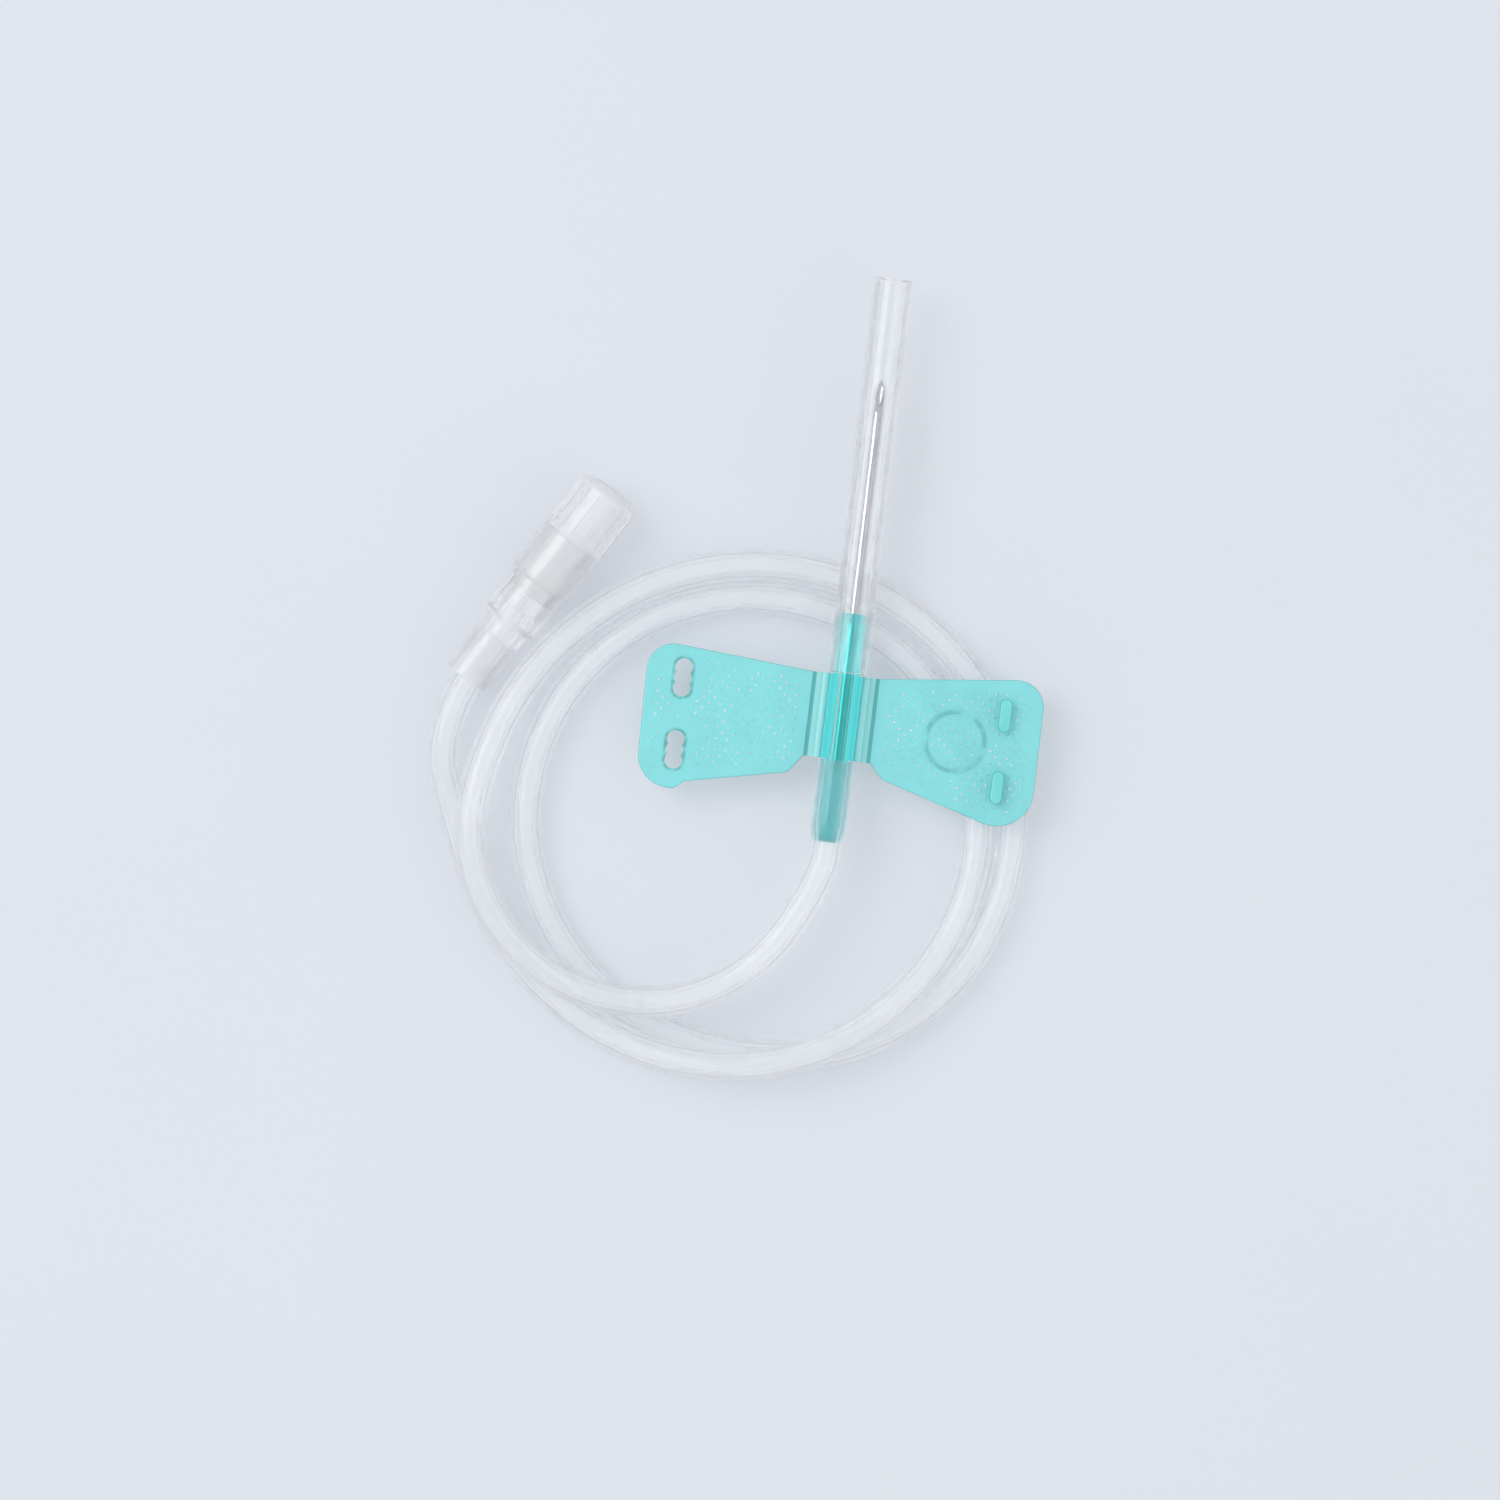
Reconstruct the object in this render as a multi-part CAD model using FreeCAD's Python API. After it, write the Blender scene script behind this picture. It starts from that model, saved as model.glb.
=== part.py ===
"""Butterfly needle: a winged needle hub with its sheath, coiled tubing and capped connector.

Millimetres. The origin is on the needle's axis at the front of the hub's nose.
+Y points to the needle's tip, +X to the wing with the pegs, and +Z is up.
"""
import FreeCAD, Part
import math
import os

Vector = FreeCAD.Vector
AXIS_X = Vector(1, 0, 0)
AXIS_Y = Vector(0, 1, 0)
AXIS_Z = Vector(0, 0, 1)

# Needle
needle_od = 0.8
needle_bore = 0.5
needle_reach = 19.05
needle_seat = 12.6
bevel_angle = 16.0
lancet_angle = 21.0
lancet_twist = 34.0

# Hub
nose_od = 2.1
nose_tip_od = 1.8
nose_taper = 0.8
wing_front = 4.95
wing_rear = 11.8
barrel_od = 2.7
web_fillet = 0.35
spigot_od = 1.8
spigot_length = 6.7
spigot_taper = 1.8
spigot_tip_od = 1.4
hub_lumen = 0.9
glue_gap = 0.02

# Wings and the grooves that they fold along
wing_thickness = 0.6
edge_round = 0.15
hinge_offset = 2.55
hinge_gap = 0.3
wing_span = 16.15
front_round = 2.2
inner_round = 0.9
shoulder_length = 1.1

# Outline of the wing with the slots: its tip stands out past the fold at both ends
left_front_rise = 1.1
left_rear_drop = 3.9
left_rear_round = 2.7
left_tip_lean = 0.2
left_shoulder_drop = 1.5
step_inset = 3.3
step_run = 0.9
step_height = 0.7
step_round = 0.3

# Outline of the wing with the pegs
right_front_rise = 1.5
right_rear_drop = 4.9
right_rear_round = 3.0
right_shoulder_drop = 1.2

# Slots of one wing and the pegs of the other, which they close over
slot_inset = 3.05
slot_width = 1.4
slot_length = 3.1
slot_lobes = 3
slot_back = (6.7, 12.55)
peg_clearance = 0.2
peg_height = 0.85
peg_round = 0.2

# Plain moulded ring on the wing with the pegs
ring_inset = 6.85
ring_back = 9.25
ring_radius = 2.4
ring_width = 0.3
ring_height = 0.08

# Needle sheath
sheath_od = 3.1
sheath_clearance = 0.05
sheath_end_gap = 0.1
sheath_tip = 27.2
sheath_chamfer = 0.1

# Tubing
tube_od = 2.6
tube_bore = 1.4
spigot_clearance = 0.03
cuff_gap = 0.05
cuff_taper = 1.2
strand_gap = 0.45
arc_share = 0.45

# Connector with a female taper, and its plug cap
socket_od = 5.3
socket_mouth = 4.3
socket_depth = 7.0
luer_taper = 0.06
socket_length = 4.2
grip_od = 4.7
grip_length = 4.0
grip_flutes = 10
flute_width = 0.7
flute_depth = 0.25
sleeve_od = 3.9
sleeve_length = 5.8
step_blend = 0.5
tube_insert = 4.0
insert_clearance = 0.03
tube_lead = 4.5
connector_heading = 58.5
connector_tail = (-30.6, -8.7)

cap_length = 5.2
cap_stem = 5.6
cap_clearance = 0.05
cap_wall = 0.75
cap_ribs = 16
cap_rib_height = 0.14
cap_dome = 0.6

# How near an edge has to be to a level to count as lying on it
tolerance = 1e-6

# Levels: the tubing that lies flat carries the hub, which rides on it
sheath_rest_gap = 0.2
tube_level = -(sheath_od / 2 + sheath_rest_gap + tube_od / 2)
ground = tube_level - tube_od / 2
over = tube_od + strand_gap

# Route of the tubing: from the hub's spigot in a free arc to the coil
lead_out = [
    (0.0, -21.1, 0.0),
    (-4.2, -29.4, 0.0),
    (-12.0, -33.6, 0.0),
    (-20.9, -32.4, 0.0),
    (-27.4, -26.6, 0.0),
    (-29.4, -18.7, 0.0),
]

# The coil: radii and heights at even steps round its centre, a row for each turn
coil_centre = (-6.15, -17.9)
coil_step = 30.0
coil_first = -208.0
coil_radii = [
    21.6, 21.1, 21.1, 21.3, 21.4, 21.1, 20.8, 19.7, 18.4, 18.0, 18.1, 18.4,
    18.5, 18.5, 18.4, 18.4, 18.3, 18.2, 18.2, 18.6, 19.4, 20.5, 21.9,
]
coil_rise = {0: 0.45, 18: 0.5, 19: 1.0, 20: 1.0, 21: 0.4}

# Last free point of the tubing before it bends into line with the connector
lead_in = (-29.8, -21.2)


def half_space(point, normal, size=80.0):
    """A block that fills the side of a plane that its normal points to."""
    block = Part.makeBox(size, size, size, Vector(-size / 2, -size / 2, 0))
    block.Placement = FreeCAD.Placement(point, FreeCAD.Rotation(AXIS_Z, normal))
    return block


def turned(profile, axis=AXIS_Y):
    """A solid of revolution from (radius, height) points."""
    corners = [AXIS_X * radius + axis * height for radius, height in profile]
    outline = Part.makePolygon(corners + corners[:1])
    return Part.Face(outline).revolve(Vector(0, 0, 0), axis, 360)


def rounded_outline(corners):
    """A closed wire through (x, y, corner radius) points."""
    count = len(corners)
    starts = []
    ends = []
    middles = []
    for index, (x, y, radius) in enumerate(corners):
        here = Vector(x, y, 0)
        before = Vector(*corners[index - 1][:2], 0) - here
        after = Vector(*corners[(index + 1) % count][:2], 0) - here
        half_turn = (math.pi - before.getAngle(after)) / 2
        reach = radius * math.tan(half_turn)
        before.normalize()
        after.normalize()
        inward = before + after
        inward.normalize()
        starts.append(here + before * reach)
        ends.append(here + after * reach)
        middles.append(here + inward * (radius / math.cos(half_turn) - radius))
    edges = []
    for index in range(count):
        if corners[index][2] > 0:
            edges.append(Part.Arc(starts[index], middles[index], ends[index]).toShape())
        edges.append(Part.LineSegment(ends[index], starts[(index + 1) % count]).toShape())
    return Part.Wire(edges)


def smooth_path(points):
    """Straight runs joined by tangent arcs, each as large as its two runs allow."""
    edges = []
    radii = []
    last = points[0]
    for before, here, after in zip(points, points[1:], points[2:]):
        back = before - here
        ahead = after - here
        half_turn = (math.pi - back.getAngle(ahead)) / 2
        reach = arc_share * min(back.Length, ahead.Length)
        radius = reach / math.tan(half_turn)
        back.normalize()
        ahead.normalize()
        inward = back + ahead
        inward.normalize()
        start = here + back * reach
        end = here + ahead * reach
        middle = here + inward * (radius / math.cos(half_turn) - radius)
        edges.append(Part.LineSegment(last, start).toShape())
        edges.append(Part.Arc(start, middle, end).toShape())
        radii.append(radius)
        last = end
    edges.append(Part.LineSegment(last, points[-1]).toShape())
    return Part.Wire(edges), radii


def swept_rod(path, start, direction, diameter):
    """A round rod along a path."""
    circle = Part.Wire(Part.makeCircle(diameter / 2, start, direction))
    return path.makePipeShell([circle], True, False)


def needle():
    """Steel cannula, ground to a lancet point that opens upwards."""
    length = needle_reach + needle_seat
    base = Vector(0, -needle_seat, 0)
    body = Part.makeCylinder(needle_od / 2, length, base, AXIS_Y)
    body = body.cut(Part.makeCylinder(needle_bore / 2, length, base, AXIS_Y))
    point = Vector(0, needle_reach, -needle_od / 2)
    bevel = math.radians(bevel_angle)
    lancet = math.radians(lancet_angle)
    twist = math.radians(lancet_twist)
    body = body.cut(half_space(point, Vector(0, math.sin(bevel), math.cos(bevel))))
    for side in (-1, 1):
        facet = Vector(
            side * math.sin(twist) * math.cos(lancet),
            math.sin(lancet),
            math.cos(twist) * math.cos(lancet),
        )
        body = body.cut(half_space(point, facet))
    return body


def hub_section():
    """Cross-section of the barrel on its web, with a hollow fillet on each side."""
    radius = barrel_od / 2
    low = -radius
    high = low + wing_thickness
    half = hinge_offset - hinge_gap / 2
    fillet_z = high + web_fillet
    fillet_x = math.sqrt((radius + web_fillet) ** 2 - fillet_z ** 2)
    share = radius / (radius + web_fillet)
    touch = (fillet_x * share, fillet_z * share)
    lean = math.atan2(-fillet_z, -fillet_x)
    mid_angle = (lean - math.pi / 2) / 2
    middle = (
        fillet_x + web_fillet * math.cos(mid_angle),
        fillet_z + web_fillet * math.sin(mid_angle),
    )

    def at(x, z):
        return Vector(x, 0, z)

    edges = [
        Part.LineSegment(at(-half, low), at(half, low)),
        Part.LineSegment(at(half, low), at(half, high)),
        Part.LineSegment(at(half, high), at(fillet_x, high)),
        Part.Arc(at(fillet_x, high), at(*middle), at(*touch)),
        Part.Arc(at(*touch), at(0, radius), at(-touch[0], touch[1])),
        Part.Arc(at(-touch[0], touch[1]), at(-middle[0], middle[1]), at(-fillet_x, high)),
        Part.LineSegment(at(-fillet_x, high), at(-half, high)),
        Part.LineSegment(at(-half, high), at(-half, low)),
    ]
    return Part.Face(Part.Wire([edge.toShape() for edge in edges]))


def wing_hub():
    """Nose, barrel with its two webs, and the spigot that the tubing is pushed on."""
    barrel = hub_section().extrude(Vector(0, wing_front - wing_rear, 0))
    barrel.translate(Vector(0, -wing_front, 0))
    tail = -(wing_rear + spigot_length)
    middle = -(wing_front + wing_rear) / 2
    core = turned([
        (0, 0),
        (nose_tip_od / 2, 0),
        (nose_od / 2, -nose_taper),
        (nose_od / 2, middle),
        (spigot_od / 2, middle),
        (spigot_od / 2, tail + spigot_taper),
        (spigot_tip_od / 2, tail),
        (0, tail),
    ])
    stop = -needle_seat - glue_gap
    seat = turned([
        (0, 0),
        (needle_od / 2 + glue_gap, 0),
        (needle_od / 2 + glue_gap, stop),
        (hub_lumen / 2, stop),
        (hub_lumen / 2, tail),
        (0, tail),
    ])
    return barrel.fuse(core).removeSplitter().cut(seat)


def wing_plate(corners, side):
    """A thin rounded plate from (out, back, corner radius) points, soft at its top edge."""
    outline = rounded_outline([(side * out, -back, radius) for out, back, radius in corners])
    plate = Part.Face(outline).extrude(Vector(0, 0, wing_thickness))
    if plate.Volume < 0:
        plate.reverse()
    plate.translate(Vector(0, 0, -barrel_od / 2))
    top = wing_thickness - barrel_od / 2
    inner = hinge_offset + hinge_gap
    soft = [
        edge for edge in plate.Edges
        if edge.BoundBox.ZMin > top - tolerance and abs(edge.CenterOfMass.x) > inner
    ]
    return plate.makeFillet(edge_round, soft)


def wing_root():
    """Where each wing's inner edge stands, just past the groove."""
    return hinge_offset + hinge_gap / 2


def left_wing():
    """Wing with the two lobed slots and a small step in its rear edge."""
    rear = wing_rear + left_rear_drop
    plate = wing_plate([
        (wing_root(), wing_front, 0),
        (wing_span, wing_front - left_front_rise, front_round),
        (wing_span - left_tip_lean, rear, left_rear_round),
        (wing_span - step_inset, rear, step_round),
        (wing_span - step_inset - step_run, rear - step_height, step_round),
        (wing_root() + shoulder_length, wing_rear + left_shoulder_drop, inner_round),
        (wing_root(), wing_rear, 0),
    ], -1)
    underside = -barrel_od / 2
    pitch = (slot_length - slot_width) / (slot_lobes - 1)
    for back in slot_back:
        for lobe in range(slot_lobes):
            y = -back + (lobe - (slot_lobes - 1) / 2) * pitch
            base = Vector(slot_inset - wing_span, y, underside)
            plate = plate.cut(Part.makeCylinder(slot_width / 2, wing_thickness, base, AXIS_Z))
    return plate


def peg(back):
    """One oblong peg with a rounded top, which goes through a slot of the other wing."""
    radius = slot_width / 2 - peg_clearance
    straight = slot_length - slot_width
    height = wing_thickness + peg_height
    underside = -barrel_od / 2
    out = wing_span - slot_inset
    front = Vector(out, -back + straight / 2, underside)
    rear = Vector(out, -back - straight / 2, underside)
    solid = Part.makeBox(2 * radius, straight, height, rear - AXIS_X * radius)
    for end in (front, rear):
        solid = solid.fuse(Part.makeCylinder(radius, height, end, AXIS_Z))
    solid = solid.removeSplitter()
    top = underside + height
    rim = [edge for edge in solid.Edges if edge.BoundBox.ZMin > top - tolerance]
    return solid.makeFillet(peg_round, rim)


def right_wing():
    """Wing with the two pegs and a plain raised ring."""
    plate = wing_plate([
        (wing_root(), wing_front, 0),
        (wing_span, wing_front - right_front_rise, front_round),
        (wing_span, wing_rear + right_rear_drop, right_rear_round),
        (wing_root() + shoulder_length, wing_rear + right_shoulder_drop, inner_round),
        (wing_root(), wing_rear, 0),
    ], 1)
    seat = Vector(wing_span - ring_inset, -ring_back, -barrel_od / 2)
    height = wing_thickness + ring_height
    ring = Part.makeCylinder(ring_radius + ring_width / 2, height, seat, AXIS_Z)
    ring = ring.cut(Part.makeCylinder(ring_radius - ring_width / 2, height, seat, AXIS_Z))
    plate = plate.fuse(ring)
    for back in slot_back:
        plate = plate.fuse(peg(back))
    return plate


def needle_sheath():
    """Clear tube over the needle, held on the hub's nose."""
    rear = -wing_front + sheath_end_gap
    bore = nose_od / 2 + sheath_clearance
    outer = sheath_od / 2
    return turned([
        (bore + sheath_chamfer, rear),
        (outer, rear),
        (outer, sheath_tip - sheath_chamfer),
        (outer - sheath_chamfer, sheath_tip),
        (bore, sheath_tip),
        (bore, rear + sheath_chamfer),
    ])


def connector_axis():
    """Start and direction of the connector, which lies on its sleeve's end and its socket."""
    rise = (socket_od - sleeve_od) / 2
    tilt = math.atan2(rise, sleeve_length + grip_length)
    heading = math.radians(connector_heading)
    direction = Vector(
        math.cos(tilt) * math.cos(heading),
        math.cos(tilt) * math.sin(heading),
        math.sin(tilt),
    )
    start = Vector(*connector_tail, ground + sleeve_od / 2 * math.cos(tilt))
    return start, direction


def placed_on_connector(shape):
    """Moves a shape built along +Z from the origin on to the connector's axis."""
    start, direction = connector_axis()
    shape.Placement = FreeCAD.Placement(start, FreeCAD.Rotation(AXIS_Z, direction))
    return shape


def luer_connector():
    """Clear female connector: sleeve over the tubing, fluted grip and tapered socket."""
    length = sleeve_length + grip_length + socket_length
    mouth = socket_mouth / 2
    floor = mouth - luer_taper * socket_depth / 2
    body = turned([
        (tube_od / 2 + insert_clearance, 0),
        (sleeve_od / 2, 0),
        (sleeve_od / 2, sleeve_length - step_blend),
        (grip_od / 2, sleeve_length),
        (grip_od / 2, sleeve_length + grip_length - step_blend / 2),
        (socket_od / 2, sleeve_length + grip_length),
        (socket_od / 2, length),
        (mouth, length),
        (floor, length - socket_depth),
        (tube_bore / 2, length - socket_depth),
        (tube_bore / 2, tube_insert + insert_clearance),
        (tube_od / 2 + insert_clearance, tube_insert + insert_clearance),
    ], AXIS_Z)
    flute = Part.makeBox(
        2 * flute_depth,
        flute_width,
        grip_length - 2 * step_blend,
        Vector(grip_od / 2 - flute_depth, -flute_width / 2, sleeve_length + step_blend / 2),
    )
    for number in range(grip_flutes):
        cutter = flute.copy()
        cutter.rotate(Vector(0, 0, 0), AXIS_Z, 360.0 * number / grip_flutes)
        body = body.cut(cutter)
    return placed_on_connector(body)


def luer_cap():
    """Plug cap: tapered stem in the socket and a ribbed head with a domed end."""
    seat = sleeve_length + grip_length + socket_length + cap_clearance
    root = socket_mouth / 2 - cap_clearance
    tip = root - luer_taper * cap_stem / 2
    end = seat + cap_length
    ribs_high = socket_od / 2
    head = ribs_high - cap_rib_height
    cap = turned([
        (tip - cap_wall, seat - cap_stem),
        (tip, seat - cap_stem),
        (root, seat),
        (ribs_high, seat),
        (ribs_high, seat + cap_dome),
        (head, seat + cap_dome),
        (head, end - cap_dome),
        (head - cap_dome, end),
        (0, end),
        (0, end - cap_wall),
        (tip - cap_wall, end - cap_wall),
    ], AXIS_Z)
    rib = Part.makeBox(
        2 * cap_rib_height,
        math.pi * head / cap_ribs,
        cap_length - 2 * cap_dome,
        Vector(head - cap_rib_height, -math.pi * head / cap_ribs / 2, seat + cap_dome / 2),
    )
    for number in range(cap_ribs):
        ridge = rib.copy()
        ridge.rotate(Vector(0, 0, 0), AXIS_Z, 360.0 * number / cap_ribs)
        cap = cap.fuse(ridge)
    return placed_on_connector(cap)


def tube_route():
    """Points of the tubing's route, from the barrel's rear face to inside the connector."""
    points = [Vector(0, -wing_rear - cuff_gap, 0)]
    points += [Vector(*point) for point in lead_out]
    spread = math.cos(math.radians(coil_step / 2))
    for number, radius in enumerate(coil_radii):
        angle = math.radians(coil_first - number * coil_step)
        points.append(Vector(
            coil_centre[0] + radius / spread * math.cos(angle),
            coil_centre[1] + radius / spread * math.sin(angle),
            tube_level + over * coil_rise.get(number, 0.0),
        ))
    start, direction = connector_axis()
    points.append(Vector(*lead_in, tube_level))
    points += [start - direction * tube_lead, start + direction * tube_insert]
    return points


def tubing():
    """Hollow tubing, stretched over the spigot and pushed into the connector."""
    points = tube_route()
    path, radii = smooth_path(points)
    ahead = points[1] - points[0]
    outer = swept_rod(path, points[0], ahead, tube_od)
    inner = swept_rod(path, points[0], ahead, tube_bore)
    rear = -wing_rear - cuff_gap
    tail = -(wing_rear + spigot_length)
    cuff_bore = spigot_od + 2 * spigot_clearance
    cuff_od = math.sqrt(cuff_bore ** 2 + tube_od ** 2 - tube_bore ** 2)
    cuff = turned([
        (0, rear),
        (cuff_od / 2, rear),
        (cuff_od / 2, tail + cuff_taper),
        (tube_od / 2, tail),
        (0, tail),
    ])
    swell = turned([
        (0, rear),
        (cuff_bore / 2, rear),
        (cuff_bore / 2, tail + spigot_taper),
        (spigot_tip_od / 2 + spigot_clearance, tail - spigot_clearance),
        (0, tail - spigot_clearance),
    ])
    hose = outer.fuse(cuff).cut(inner.fuse(swell))
    section = math.pi / 4 * (tube_od ** 2 - tube_bore ** 2)
    print("tubing length", round(path.Length, 1), "radii", [round(radius, 1) for radius in radii])
    print("tubing volume", round(hose.Volume, 1), "section times length", round(section * path.Length, 1))
    return hose


def main():
    os.makedirs("parts", exist_ok=True)
    pieces = {
        "needle": needle(),
        "wing_hub": wing_hub(),
        "left_wing": left_wing(),
        "right_wing": right_wing(),
        "needle_sheath": needle_sheath(),
        "tubing": tubing(),
        "luer_connector": luer_connector(),
        "luer_cap": luer_cap(),
    }
    for name, shape in pieces.items():
        box = shape.BoundBox
        print(name, len(shape.Solids), shape.isValid(), round(shape.Volume, 2), "mm3",
              [round(value, 2) for value in (box.XMin, box.YMin, box.ZMin, box.XMax, box.YMax, box.ZMax)])
        shape.exportStep("parts/" + name + ".step")


main()
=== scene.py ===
"""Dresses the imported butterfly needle: tubing, wings, fold skins and the materials of the rest.

Metres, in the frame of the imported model: the origin is on the needle's axis at the
front of the hub's nose, +Y points to the needle's tip and +Z is up.
"""

import math

import bmesh
import bpy
from bpy.props import (
    FloatProperty,
    FloatVectorProperty,
    IntProperty,
    PointerProperty,
)
from mathutils import Matrix, Vector
from mathutils.bvhtree import BVHTree


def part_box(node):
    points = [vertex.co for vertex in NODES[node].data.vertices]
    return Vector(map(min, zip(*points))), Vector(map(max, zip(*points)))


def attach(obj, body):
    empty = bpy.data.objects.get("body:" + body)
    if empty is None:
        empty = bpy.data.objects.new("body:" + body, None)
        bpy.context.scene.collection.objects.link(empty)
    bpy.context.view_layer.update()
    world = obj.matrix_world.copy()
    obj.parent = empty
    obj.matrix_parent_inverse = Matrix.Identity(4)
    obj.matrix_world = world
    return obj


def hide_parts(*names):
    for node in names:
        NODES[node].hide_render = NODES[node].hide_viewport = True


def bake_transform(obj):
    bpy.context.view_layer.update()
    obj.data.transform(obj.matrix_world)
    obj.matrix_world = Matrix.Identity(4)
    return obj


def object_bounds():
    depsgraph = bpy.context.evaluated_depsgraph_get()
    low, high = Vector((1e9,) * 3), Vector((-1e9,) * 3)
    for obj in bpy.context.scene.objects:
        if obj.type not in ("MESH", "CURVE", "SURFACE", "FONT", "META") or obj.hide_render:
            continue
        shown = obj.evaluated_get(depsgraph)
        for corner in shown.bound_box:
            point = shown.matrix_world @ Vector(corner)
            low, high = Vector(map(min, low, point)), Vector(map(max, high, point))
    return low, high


bl_info = {
    "name": "Butterfly needle",
    "version": (1, 0, 0),
    "blender": (4, 5, 0),
    "location": "3D View > Sidebar > Butterfly needle",
    "description": "Looks for a winged needle with sheath, coiled tubing and capped connector",
    "category": "Object",
}

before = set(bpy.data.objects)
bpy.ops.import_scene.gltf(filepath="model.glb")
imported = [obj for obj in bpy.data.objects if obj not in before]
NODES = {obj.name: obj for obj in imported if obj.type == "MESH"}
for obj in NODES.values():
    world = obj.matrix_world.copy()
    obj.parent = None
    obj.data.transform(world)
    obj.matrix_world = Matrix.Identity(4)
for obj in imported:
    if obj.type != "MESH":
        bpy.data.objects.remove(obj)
CAD_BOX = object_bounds()

MM = 0.001
FLOOR_LEVEL = CAD_BOX[0].z

# Places and sizes of the solids that the materials and the added pieces follow
WING_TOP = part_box("left_wing")[1].z
BARREL_REAR = -11.8 * MM
FOLD_LENGTH = 6.85 * MM
RING_CENTRE = (9.3 * MM, -9.25 * MM, WING_TOP)
RING_RADIUS = 2.4 * MM
SLOT_OUT = 13.1 * MM
SLOT_MIDDLE = -9.625 * MM
SLOT_SPACING = 5.85 * MM
SLOT_STRAIGHT = 1.7 * MM
SLOT_RADIUS = 0.7 * MM

# Places where a material changes its look: just ahead of the barrel's front, across its
# flanks, and between the ring's line and the pips round it
NOSE_TONE_START = -4.6 * MM
WEB_BLEND = (1.2 * MM, 1.45 * MM)
RING_CLEAR = (0.26 * MM, 0.32 * MM)

# Shapes of the added pieces, and limits used in making them
SPIGOT_REACH = 3 * MM
PIP_FOOT = 0.03 * MM
PIP_SIDES = 4
FLAT_WITHIN = 0.005 * MM
RAY_HEIGHT = 5 * MM
BORE_TAPER = 1.8 * MM
END_REACH = 2 * MM

# Tones that belong to one material
# Dark teal of the painted shade on walls and rounded rims
EDGE_SHADE_TONE = (0.06, 0.36, 0.38, 1)
SPIGOT_TONE = "86C6CC"
STEEL_TONES = ("A4A4AC", "C4C4CB")
# Teal-grey painted shade on the steel inside the hub's barrel
BARREL_SHADE_STEEL_TONE = "8A9EA2"


def linear(colour):
    """Linear red, green and blue of an sRGB hex colour."""
    values = [int(colour[place:place + 2], 16) / 255 for place in (0, 2, 4)]
    return tuple(
        value / 12.92 if value <= 0.04045 else ((value + 0.055) / 1.055) ** 2.4
        for value in values
    )


def length(name, description, millimetres):
    """A length that a user may change, in metres."""
    return FloatProperty(
        name=name, description=description, default=millimetres * MM,
        unit="LENGTH", precision=6, step=0.01,
    )


def colour(name, description, hex_colour):
    """A colour that a user may change."""
    return FloatVectorProperty(
        name=name, description=description, default=linear(hex_colour),
        subtype="COLOR", size=3, min=0, max=1,
    )


# Sizes and colours

class TubingSettings(bpy.types.PropertyGroup):
    """The tubing from the hub's spigot to the connector."""
    outer: length("Outer diameter", "Outside of the tubing where it lies free", 2.6)
    bore: length("Bore", "Inside of the tubing where it lies free", 1.4)
    cuff_outer: length("Cuff diameter", "Outside of the tubing stretched over the spigot", 2.87)
    cuff_bore: length("Cuff bore", "Inside of the tubing stretched over the spigot", 1.86)
    spigot_end: length("Spigot end", "Place along Y where the hub's spigot ends", -18.5)
    cuff_taper: length("Cuff taper", "Length in which the cuff comes down to the free tubing", 1.2)
    tint: colour("Tubing", "Colour of the milky clear tubing", "F9FBFE")
    tail_tint: colour("Spigot in tubing", "Colour where the spigot fills the tubing", "B2F3F6")


class WingSettings(bpy.types.PropertyGroup):
    """The two wings and the skins that they fold on."""
    pip_pitch: length("Pip pitch", "Spacing of the raised pips along their diagonal rows", 0.66)
    pip_base: length("Pip base", "Radius of a pip at its foot", 0.3)
    pip_top: length("Pip top", "Radius of a pip's blunt top", 0.08)
    pip_height: length("Pip height", "Height of a pip above the wing", 0.07)
    border: length("Plain border", "Plain rim between the pips and the wing's outline", 0.85)
    clearing: length("Clearing", "Plain rim between the pips and a slot, peg or ring", 0.32)
    skin_width: length("Skin width", "Width of the fold skin, with what is inside each edge", 0.36)
    skin_thickness: length("Skin thickness", "Thickness of the fold skin", 0.14)
    skin_recess: length("Skin recess", "Depth of the groove above the fold skin", 0.06)
    tint: colour("Wings", "Colour of the wings", "98F3F5")
    # Painted shade: the skins are darker than the wings, for the shade in the fold grooves
    painted_shade_groove_tint: colour("Grooves", "Deeper colour of the skins in the fold grooves", "5FC9CC")
    # Painted light: the webs are lighter than the wings, lifting the shade beside the barrel
    painted_light_web_tint: colour("Webs", "Colour of the hub's thin webs", "B4FDFE")
    hub_tint: colour("Hub", "Deeper colour of the thick hub", "5CF6F2")
    # A darker tone of this colour is also the painted shade of the ring's line and the slots' rims
    peg_tint: colour("Pegs", "Deeper colour of the thick pegs", "84F2EE")


class StageSettings(bpy.types.PropertyGroup):
    """Floor, light and camera."""
    view_width: length("View width", "Width of the floor that the square picture takes in", 120.97)
    camera_height: length("Camera height", "Height of the camera above the needle's axis", 520)
    centre: FloatVectorProperty(
        name="View centre", description="Point under the camera, in metres",
        default=(-7.03 * MM, -11.88 * MM, 0), subtype="TRANSLATION", size=3, precision=5,
    )
    turn: FloatProperty(
        name="Camera turn", description="Turn of the picture about the vertical",
        default=math.radians(6.8), subtype="ANGLE",
    )
    floor_radius: length("Floor radius", "Radius of the round floor", 2500)
    key_power: FloatProperty(
        name="Main light", description="Power of the large soft light, in watts",
        default=2.9, min=0, subtype="POWER",
    )
    fill_power: FloatProperty(
        name="Second light", description="Power of the softer light on the other side, in watts",
        default=1.1, min=0, subtype="POWER",
    )
    sky: FloatProperty(
        name="Sky", description="Strength of the even light from all round",
        default=0.7, min=0, max=2,
    )
    bounces: IntProperty(
        name="Bounces", description="Walls of clear plastic that light may pass on its way",
        default=28, min=4, max=64,
    )
    floor_tint: colour("Floor", "Colour of the plain floor", "DDE1E9")


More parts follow.
